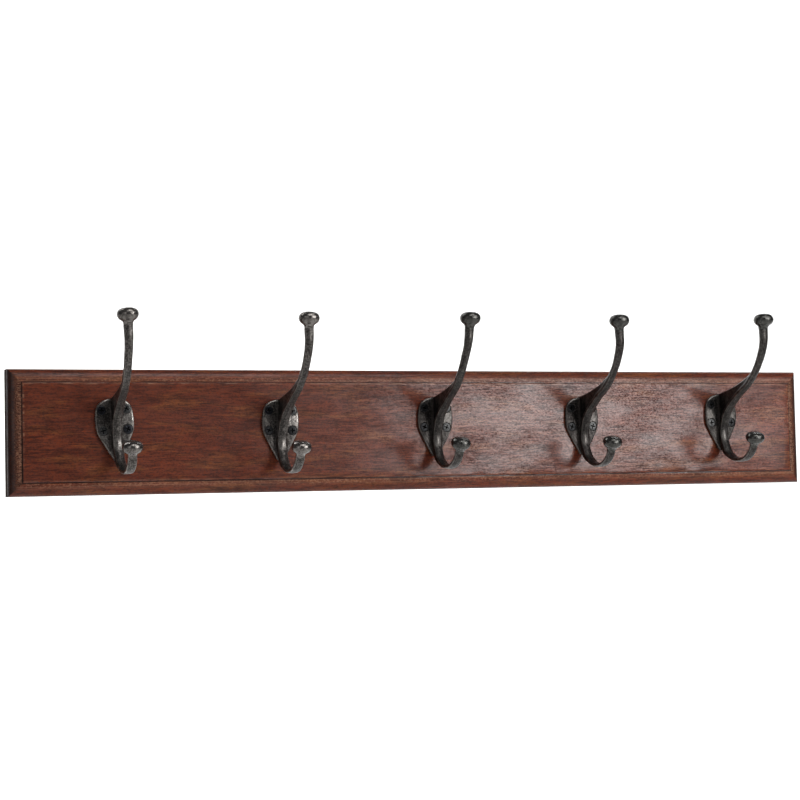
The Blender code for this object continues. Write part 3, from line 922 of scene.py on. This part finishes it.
def screwMesh(kind):
    s = screwSettings[kind]
    head, shank, end = s["head"], s["shank"], -s["length"]
    profile = [(share * head, height) for share, height in screwSettings["face"]]
    cone = profile[-1][1] - (head - shank)
    profile.append((shank, cone))
    rows = screwSettings["threadRows"]
    for row in range(1, rows + 1):
        height = cone + (end + 2 * shank - cone) * row / rows
        profile.append((shank - s["thread"] * 0.5, height))
    profile += [(shank * 0.55, end + shank * 0.8), (0, end)]

    def thread(angle, height):
        if height > cone * 1.4 or height < end + 1.2 * shank:
            return 0.0
        phase = (height / s["pitch"] + angle / (2 * math.pi)) % 1
        return s["thread"] * max(0.0, 1 - abs(phase - 0.5) / screwSettings["threadWidth"])

    mesh = carved(turned(profile, screwSettings["sides"], thread), recessCutter(head))
    shadeRound(mesh, screwSettings["roundAngle"])
    return mesh


# in each finish a cloud is its fineness along x, y and z, its detail and its roughness
woodSettings = {
    "deep": (0.052, 0.0088, 0.0042),
    "red": (0.205, 0.045, 0.019),
    "amber": (0.270, 0.085, 0.026),
    # the pale colour of worn wood, also used for the painted glints on the end grain
    "worn": (0.34, 0.17, 0.105),
    # near black: dirt in the grain, pores, end grain and sides, and also the painted shade in the quirk
    "dirtAndShade": (0.010, 0.004, 0.003),
    "clouds": {
        "broad": ((7, 26, 26), 3, 0.55),
        "figure": ((22, 170, 170), 4, 0.65),
        "streak": ((70, 800, 800), 4, 0.7),
        "pore": ((260, 1500, 1500), 2, 0.6),
        "leather": ((420, 700, 700), 3, 0.65),
        "warm": ((16, 90, 90), 3, 0.6),
        "fibre": ((900, 700, 700), 3, 0.7),
        "ragged": ((60, 300, 300), 4, 0.6),
        "lathe": ((6, 2600, 2600), 2, 0.5),
        "polish": ((16, 34, 34), 4, 0.6),
    },
    # how strongly each layer of colour shows
    "amberShare": 0.75,
    "grainDirt": 0.52,
    "poreDirt": 0.60,
    "endDirt": 0.65,
    "endEdgeDirt": 0.50,
    # how strongly the painted glints on the end grain show
    "endGlintShare": 0.75,
    "arrisWear": 0.50,
    # how strongly the painted shade in the quirk shows, and how strongly along the lower side
    "quirkShadeShare": 0.65,
    "lowerQuirkShadeShare": 0.85,
    "mouldingWear": 0.40,
    "sideDirt": 0.5,
    "roughness": 0.26,
    "gloss": 0.14,
    "lacquer": 0.20,
    "sideDepth": 0.0145,
    "bumpHeight": 0.00034,
    "bump": 0.8,
}


def stainedWood(halfLength, halfHeight):
    s = woodSettings
    r = Recipe("stainedWood")
    vector, (x, y, z) = r.place()
    c = r.clouds(vector, s["clouds"])
    streak, leather, lathe = c["streak"], c["leather"], c["lathe"]
    shoulder = boardSettings["mouldingWidth"] + boardSettings["quirkSlope"]
    fromEnd, fromSide = halfLength - abs(x), halfHeight - abs(z)
    inset = fromSide.low(fromEnd)
    # the stain: deep, red and amber in the grain, dark in the pores
    tone = (c["broad"] * 0.30 + c["figure"] * 0.60 + streak * 0.70).ease(0.50, 1.10)
    colour = r.blendColour(c["warm"].ease(0.48, 0.66) * s["amberShare"], s["red"], s["amber"])
    colour = r.blendColour(tone, s["deep"], colour)
    fine = (streak * 0.45 + leather * 0.55).ease(0.40, 0.60)
    pores = c["pore"].ease(0.54, 0.70)
    colour = r.blendColour((1 - fine) * s["grainDirt"], colour, s["dirtAndShade"])
    colour = r.blendColour(pores * s["poreDirt"], colour, s["dirtAndShade"])
    # end grain drinks more stain, and the glints where its fibres catch the light are painted in as
    # pale specks
    mitred = (fromSide - fromEnd).ease(0.0, 0.0005)
    ends = mitred * (abs(x) - halfLength + shoulder).ease(0.0, 0.0006)
    endEdge = ends * (1 - inset.ease(0.003, 0.007))
    colour = r.blendColour(ends * s["endDirt"], colour, s["dirtAndShade"])
    colour = r.blendColour(endEdge * s["endEdgeDirt"], colour, s["dirtAndShade"])
    # painted glints: pale specks where the end grain's fibres catch the light
    endGlints = ends * inset.ease(0.004, 0.009) * c["fibre"].ease(0.56, 0.66)
    colour = r.blendColour(endGlints * s["endGlintShare"], colour, s["worn"])
    # worn arris round the field, and painted shade in the quirk beside it, stronger along the lower
    # side where the step faces down
    ragged = c["ragged"]
    arris = 1 - (abs(inset - shoulder - 0.0007)).ease(0.0001, 0.0016)
    gutter = 1 - (abs(inset - shoulder + 0.0007)).ease(0.0003, 0.0009)
    below = (-z).ease(0.0, 0.01)
    rubbed = arris * ragged.ease(0.42, 0.68) * (s["arrisWear"] - below * 0.25)
    colour = r.blendColour(rubbed, colour, s["worn"])
    # painted shade in the quirk, uneven along it and strongest along the lower side
    quirkShade = (ragged.ease(0.30, 0.55) * s["quirkShadeShare"]).high(below * s["lowerQuirkShadeShare"])
    colour = r.blendColour(gutter * quirkShade, colour, s["dirtAndShade"])
    # lines and burrs that the cutter left along the moulding
    moulded = 1 - inset.ease(0.0115, 0.0128)
    lines = moulded * inset.ease(0.004, 0.011) * lathe.ease(0.45, 0.60)
    colour = r.blendColour(lines * s["mouldingWear"], colour, s["worn"])
    burr = moulded * inset.ease(0.0055, 0.0110) * leather.ease(0.50, 0.62) * (1 - gutter)
    colour = r.blendColour(burr * s["mouldingWear"], colour, s["worn"])
    # the outer sides are left without lacquer
    sides = (y + s["sideDepth"]).ease(-0.0002, 0.0004)
    colour = r.blendColour(sides * s["sideDirt"], colour, s["dirtAndShade"])
    rough = s["roughness"] + (1 - fine) * 0.16 + pores * 0.15 + gutter * 0.15 + sides * 0.75
    shell = (fine * 0.44 + c["polish"].ease(0.36, 0.64) * 0.42 + 0.06 - pores * 0.25).high(0.0)
    shell = (shell * (1 - moulded * 0.60) * (1 - sides)).low(1.0)
    height = streak * 0.30 - pores * 0.30 + leather * 0.50 + moulded * lathe * 0.2
    height = height + ends * c["fibre"] * 0.5
    return r.finish(
        colour=colour,
        roughness=rough,
        normal=r.bump(height, s["bumpHeight"], s["bump"]),
        gloss=s["gloss"],
        coat=shell,
        shine=s["lacquer"],
    )


rawWoodSettings = {
    "deep": (0.16, 0.075, 0.045),
    "pale": (0.34, 0.19, 0.12),
    "sawMarks": (0.10, 0.045, 0.03),
    "clouds": {
        "figure": ((6, 90, 120), 4, 0.6),
        "streak": ((22, 700, 900), 4, 0.65),
        "saw": ((420, 30, 6), 2, 0.5),
    },
    "roughness": 0.68,
    "bumpHeight": 0.00018,
    "bump": 0.8,
}


def rawWood():
    # the unstained back, and the pockets cut into it
    s = rawWoodSettings
    r = Recipe("rawWood")
    vector, _ = r.place()
    c = r.clouds(vector, s["clouds"])
    streak, saw = c["streak"], c["saw"]
    tone = (c["figure"] * 0.7 + streak * 0.5).ease(0.4, 0.85)
    colour = r.blendColour(tone, s["deep"], s["pale"])
    colour = r.blendColour(saw.ease(0.5, 0.75) * 0.3, colour, s["sawMarks"])
    rough = s["roughness"] + streak * 0.2
    normal = r.bump(streak * 0.6 + saw * 0.6, s["bumpHeight"], s["bump"])
    return r.finish(colour=colour, roughness=rough, normal=normal)


ironSettings = {
    "clouds": {
        "mottle": ((170, 170, 170), 4, 0.6),
        "blotch": ((60, 60, 60), 3, 0.55),
        "speck": ((1500, 1500, 1500), 3, 0.6),
        "lines": ((2300, 38, 38), 3, 0.6),
        "grit": ((650, 650, 650), 4, 0.7),
    },
    "knobPaint": (0.075, 0.080, 0.074),
    "soot": (0.016, 0.012, 0.010),
    "sootShare": 0.55,
    "metallic": 0.92,
    "roughness": 0.46,
    "polish": 0.28,
    "knobPolish": 0.17,
    "bumpHeight": 0.00045,
    "bump": 0.7,
}


def rubbedIronAndHighlight(r, vector, c, rim, tone):
    # where the casting has been rubbed bright: raised rims, the plate's edge, and single places; and a
    # painted highlight on the arm's front
    mottle = c["mottle"]
    rubbed = rim.ease(1.2, 3.2) * (0.35 + 0.65 * mottle.ease(0.35, 0.6))
    edge = r.attribute("edge") * c["blotch"].ease(0.36, 0.56) * tone["edgeWear"]
    rubbed = rubbed.high(edge)
    face = -hookSettings["plateThickness"]
    spots = [(across, face, up, reach, share) for across, up, reach, share in tone["rubs"]]
    # the plate's rubbed places, then the painted highlight on the arm's front
    for across, out, up, reach, share in (*spots, hookSettings["paintedRibbonHighlight"]):
        away = r.distance(vector, (across, out, up)) + (mottle - 0.5) * 0.010
        rubbed = rubbed.high((1 - away.ease(reach * 0.5, reach * 1.3)) * share)
    return rubbed


def hookIron(index):
    s = ironSettings
    tone = hookTones[index]
    r = Recipe(f"hookIron{index + 1}")
    vector, (x, y, _) = r.place()
    c = r.clouds(vector, s["clouds"])
    mottle, grit = c["mottle"], c["grit"]
    rim = r.attribute("rim")
    # rubbed places, together with the painted highlight on the arm's front
    rubbed = rubbedIronAndHighlight(r, vector, c, rim, tone)
    near = []
    for knob in (hookSettings["upperKnob"], hookSettings["lowerKnob"]):
        out, up = knob["place"]
        away = r.distance(vector, (bowAt(up, tone["bow"]), -out, up))
        near.append(1 - away.ease(knob["radius"] * 1.02, knob["radius"] * 1.25))
    knobs = near[0].high(near[1])
    ribbon = (1 - abs(x).ease(0.0036, 0.0046)) * (-y).ease(0.006, 0.010)
    bright = rubbed * 0.8 + (mottle - 0.5) * 0.7 + (c["blotch"] - 0.5) * 0.5
    bright = bright + (grit - 0.5) * tone["grit"] + ribbon * c["lines"].ease(0.50, 0.68) * 0.40
    bright = (bright + knobs * tone["knobLight"] + 0.12).high(0.0).low(1.0)
    colour = r.blendColour(bright, tone["dark"], tone["light"])
    colour = r.blendColour(knobs * tone["knobDark"], colour, s["knobPaint"])
    crevice = (-rim).ease(0.25, 1.0)
    colour = r.blendColour(crevice * s["sootShare"], colour, s["soot"])
    rough = s["roughness"] - tone["polish"] * s["polish"] * bright - knobs * s["knobPolish"]
    rough = rough + (c["speck"] - 0.5) * 0.10 + crevice * 0.15
    height = c["speck"] * 0.12 + mottle * 0.9 + grit * 0.5 + c["lines"] * ribbon * 0.30
    normal = r.bump(height, s["bumpHeight"], s["bump"])
    return r.finish(colour=colour, roughness=rough, normal=normal, metallic=s["metallic"])


screwPaintSettings = {
    "black": {"paint": (0.012, 0.012, 0.013), "bare": (0.09, 0.09, 0.09), "wear": 0.35, "rough": 0.40},
    "blue": {"paint": (0.016, 0.017, 0.021), "bare": (0.11, 0.112, 0.122), "wear": 0.40, "rough": 0.34},
    "bare": {"paint": (0.035, 0.035, 0.035), "bare": (0.15, 0.15, 0.145), "wear": 0.75, "rough": 0.36},
    # near black, painted into the cross recess as painted shade
    "recess": (0.004, 0.004, 0.004),
    "clouds": {"mottle": ((520, 520, 520), 4, 0.6), "speck": ((2600, 2600, 2600), 3, 0.6)},
    "metallic": 0.80,
    "bumpHeight": 0.00006,
    "bump": 0.5,
}

# the finish of each hook's screws: top left, top right, bottom left, bottom right
screwSets = (
    ("blue", "bare", "bare", "blue"),
    ("blue", "bare", "black", "black"),
    ("black", "bare", "black", "bare"),
    ("black", "black", "black", "bare"),
    ("black", "black", "bare", "black"),
)


def screwPaint(name):
    s = screwPaintSettings
    tone = s[name]
    head = screwSettings["hook"]["head"]
    r = Recipe(f"screw{name.capitalize()}")
    vector, (x, y, z) = r.place()
    c = r.clouds(vector, s["clouds"])
    mottle = c["mottle"]
    radius = r.distance(r.node("CombineXYZ", {}, {0: x, 1: y}), (0.0, 0.0, 0.0))
    edge = radius.ease(head * 0.82, head * 0.97)
    middle = 1 - radius.ease(head * 0.30, head * 0.75)
    worn = edge * 0.8 + middle * 0.35 + (mottle - 0.5) * 1.4
    worn = worn.high(0.0).low(1.0) * tone["wear"]
    # the cross recess is painted near black: painted shade in the recess
    deep = (-z).ease(0.00012, 0.0005)
    colour = r.blendColour(worn, tone["paint"], tone["bare"])
    colour = r.blendColour(deep * 0.95, colour, s["recess"])
    rough = tone["rough"] + (mottle - 0.5) * 0.25 + deep * 0.3
    normal = r.bump(c["speck"] * 0.4 + mottle, s["bumpHeight"], s["bump"])
    return r.finish(colour=colour, roughness=rough, normal=normal, metallic=s["metallic"])


zincSettings = {
    "dull": (0.44, 0.45, 0.46),
    "bright": (0.62, 0.62, 0.60),
    "stained": (0.30, 0.25, 0.17),
    "clouds": {
        "brushed": ((1800, 60, 1800), 3, 0.6),
        "spangle": ((260, 260, 260), 4, 0.6),
        "stain": ((70, 70, 70), 4, 0.65),
    },
    "metallic": 0.95,
    "roughness": 0.28,
    "bumpHeight": 0.00005,
    "bump": 0.5,
}


def zincPlate():
    s = zincSettings
    r = Recipe("zincPlate")
    vector, _ = r.place()
    c = r.clouds(vector, s["clouds"])
    spangle, stain = c["spangle"], c["stain"]
    colour = r.blendColour(spangle.ease(0.35, 0.65), s["dull"], s["bright"])
    colour = r.blendColour(stain.ease(0.52, 0.75) * 0.5, colour, s["stained"])
    rough = s["roughness"] + spangle * 0.2 + stain * 0.12
    normal = r.bump(c["brushed"] * 0.5 + spangle * 0.3, s["bumpHeight"], s["bump"])
    return r.finish(colour=colour, roughness=rough, normal=normal, metallic=s["metallic"])


def settle(piece, node):
    # every piece rides on the one body, in place of its frame node
    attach(piece, "root")
    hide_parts(node)


def makeBoard():
    s = boardSettings
    low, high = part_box("back_board")
    mesh = boardMesh()
    cutters = pocketCutters()
    for kind in (cutters[0::2], cutters[1::2]):
        mesh = carved(mesh, gathered(*zip(*kind)))
    shadeRound(mesh, s["roundAngle"])
    setMaterials(mesh, stainedWood((high.x - low.x) / 2, (high.z - low.z) / 2), rawWood())
    for face in mesh.polygons:
        x, y, z = face.center
        pocket = y > high.y - s["pocketReach"] and abs(z) < high.z - s["pocketMargin"]
        pocket = pocket and abs(x) < high.x - s["pocketMargin"]
        face.material_index = int(face.normal.y > s["backFacing"] or pocket)
    settle(addPiece("board", mesh), "back_board")


def boxMiddle(node):
    low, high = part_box(node)
    return (low + high) / 2


def hookPlace(number):
    # the frame's four screws give the middle and the lean of a hook
    spots = {corner: boxMiddle(f"hook_{number}_screw_{corner}") for corner in screwSpots()}
    middle = sum(spots.values(), Vector()) / 4
    along = spots["top_right"] - spots["top_left"]
    lean = math.atan2(along.z, along.x)
    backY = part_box(f"hook_{number}")[1].y
    return Matrix.Translation((middle.x, backY, middle.z)) @ Matrix.Rotation(-lean, 4, "Y")


def makeHooks():
    dice = random.Random(7)
    most = screwSettings["spin"]
    across, upward = screwSettings["spacing"]
    screw = screwMesh("hook")
    screws = {}
    for name in ("black", "blue", "bare"):
        screws[name] = screw.copy()
        setMaterials(screws[name], screwPaint(name))
    for index, finishes in enumerate(screwSets):
        number = index + 1
        place = hookPlace(number)
        mesh = hookMesh(index)
        setMaterials(mesh, hookIron(index))
        settle(addPiece(f"hook{number}", mesh, place), f"hook_{number}")
        for (corner, (side, up)), finish in zip(screwSpots().items(), finishes):
            node = f"hook_{number}_screw_{corner}"
            spot = place @ Vector((side * across / 2, 0, up * upward / 2))
            spot.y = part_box(node)[0].y
            spin = Matrix.Rotation(dice.uniform(-most, most), 4, "Z")
            name = f"hook{number}Screw{corner.title().replace('_', '')}"
            piece = addPiece(name, screws[finish], Matrix.Translation(spot) @ faceForward @ spin)
            settle(piece, node)
        print("hook", number, "made:", len(mesh.polygons), "faces")


def makeHangers():
    plate = hangerMesh()
    screw = screwMesh("hanger")
    zinc = zincPlate()
    for mesh in (plate, screw):
        setMaterials(mesh, zinc)
    for side in ("left", "right"):
        rows = [(plate, f"hanger{side.title()}", f"hanger_{side}")]
        for end in ("top", "bottom"):
            rows.append((screw, rows[0][1] + f"Screw{end.title()}", rows[0][2] + f"_screw_{end}"))
        for mesh, name, node in rows:
            spot = boxMiddle(node)
            spot.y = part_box(node)[1].y
            piece = addPiece(name, mesh, Matrix.Translation(spot) @ faceBack)
            settle(piece, node)


# a pale sweep below and behind, under soft area lights
studioSettings = {
    "floorDrop": 0.55,
    "sweepStart": 3.2,
    "sweepRadius": 1.6,
    "sweepHeight": 5.0,
    "sweepSteps": 24,
    "halfWidth": 9.0,
    "front": -4.5,
    "pale": (0.90, 0.90, 0.895),
    "dimmer": (0.873, 0.873, 0.86815),
    "dimShare": 0.3,
    "cloud": ((3, 3, 3), 3, 0.55),
    "roughness": 0.85,
    "lights": (
        # name, place, aims at, width, height, power
        ("key", (0.85, -1.42, 0.36), (0.10, 0.0, 0.0), 0.62, 1.00, 16.0),
        ("side", (1.65, -1.35, 1.00), (-0.1, 0.0, 0.0), 0.60, 0.60, 6.0),
        ("top", (0.10, -1.30, 1.60), (0.0, 0.0, 0.0), 1.4, 0.7, 15.0),
        ("fill", (-2.2, -1.9, 0.5), (0.0, 0.0, 0.0), 1.2, 1.2, 6.0),
        ("sweepLeft", (-1.6, 1.6, 2.6), (-0.6, 4.8, 0.2), 2.0, 1.2, 165.0),
        ("sweepRight", (2.2, 1.6, 2.6), (2.2, 4.8, 0.2), 2.0, 1.2, 165.0),
    ),
    "world": (0.12, 0.12, 0.123),
}


def makeStudio():
    s = studioSettings
    radius, start = s["sweepRadius"], s["sweepStart"]
    floorZ = cadBox[0].z - s["floorDrop"]
    quarter = math.pi / 2
    line = [(s["front"], floorZ)]
    line += arc(radius, (start, floorZ + radius), -quarter, quarter, s["sweepSteps"])
    line.append((start + radius, floorZ + s["sweepHeight"]))
    bm = bmesh.new()
    ends = (-s["halfWidth"], s["halfWidth"])
    left, right = [[bm.verts.new((x, *spot)) for spot in line] for x in ends]
    for index in range(len(line) - 1):
        bm.faces.new((left[index], right[index], right[index + 1], left[index + 1]))
    sweep = addPiece("sweep", meshFrom(bm, "sweep"))
    sweep.data.shade_smooth()
    r = Recipe("paleSweep")
    vector, _ = r.place()
    soft = r.cloud(vector, *s["cloud"])
    colour = r.blendColour(soft * s["dimShare"], s["pale"], s["dimmer"])
    setMaterials(sweep.data, r.finish(colour=colour, roughness=s["roughness"]))
    for name, place, aim, width, height, power in s["lights"]:
        lamp = bpy.data.lights.new(name, "AREA")
        lamp.shape = "RECTANGLE"
        lamp.size, lamp.size_y, lamp.energy = width, height, power
        piece = addPiece(name, lamp)
        piece.location = place
        piece.rotation_euler = (Vector(aim) - Vector(place)).to_track_quat("-Z", "Y").to_euler()
    world = bpy.data.worlds.new("studio")
    scene.world = world
    world.use_nodes = True
    world.node_tree.nodes["Background"].inputs["Color"].default_value = (*s["world"], 1.0)
    scene.view_settings.view_transform = "Standard"


makeCamera()
print("camera set")
makeBoard()
print("board made")
makeHooks()
makeHangers()
print("hangers made")
makeStudio()
print("studio lit")
